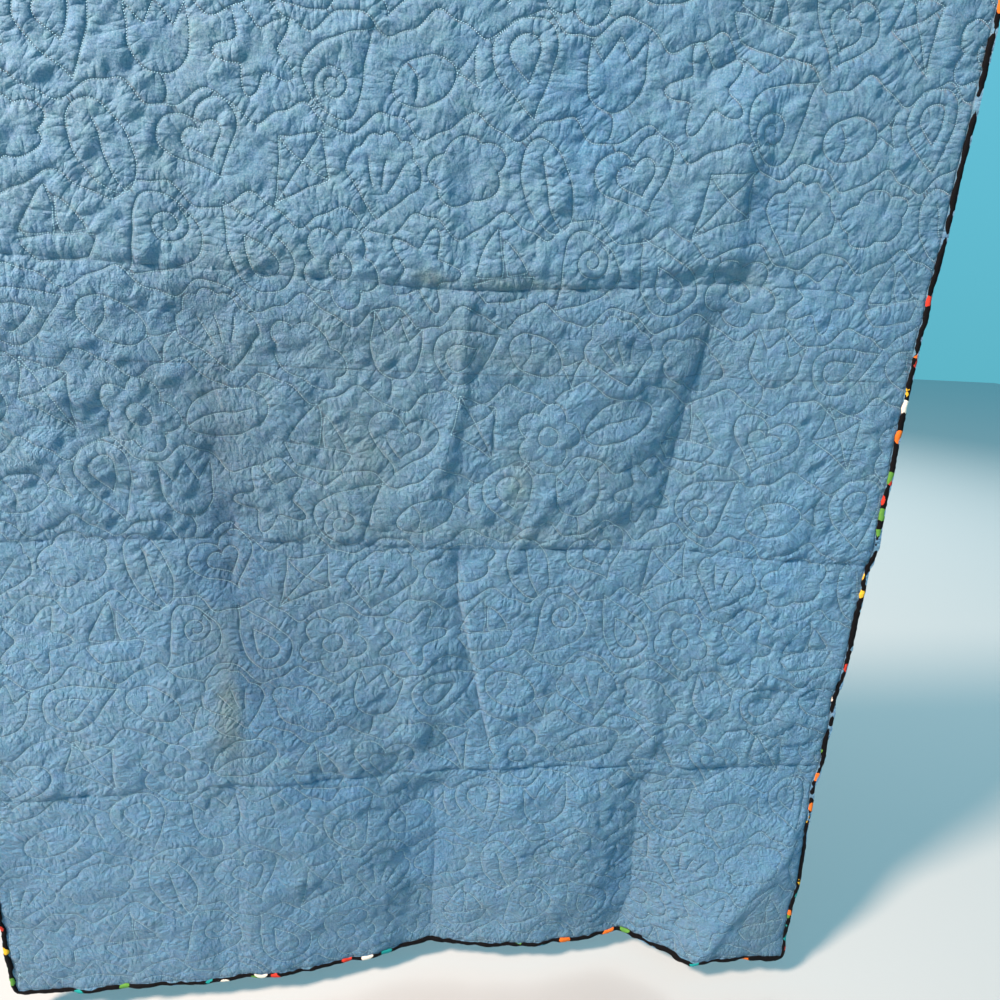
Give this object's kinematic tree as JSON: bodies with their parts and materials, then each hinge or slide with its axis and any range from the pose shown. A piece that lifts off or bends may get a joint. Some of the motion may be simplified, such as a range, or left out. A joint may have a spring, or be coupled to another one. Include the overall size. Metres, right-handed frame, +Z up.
{
  "type": "patchwork crib quilt",
  "caption": "Small quilted cotton blanket hanging by its top edge, plain light blue back towards the viewer, pieced front behind, black print binding, with storage creases.",
  "frame": {"origin": "middle of the quilt's top edge, in the middle of its thickness", "axes": "+Z up, the quilt hangs down along -Z; +X to the right as seen facing the plain back; the plain back faces -Y and the patchwork front faces +Y"},
  "size_m": [1.1, 0.0911, 1.2576],
  "materials": {
    "backing_cotton": "plain weave light blue cotton, washed and crinkled, matte",
    "patchwork_cotton": "pieced cotton squares in black and bright small prints, matte",
    "binding_print": "black cotton with small bright scattered motifs, matte",
    "quilting_thread": "light blue quilting thread with a faint lustre"
  },
  "bodies": {
    "root": {"backing": "backing_cotton", "patchwork_top": "patchwork_cotton", "binding_top": "binding_print", "binding_bottom": "binding_print", "binding_left": "binding_print", "binding_right": "binding_print"}
  },
  "joints": []
}
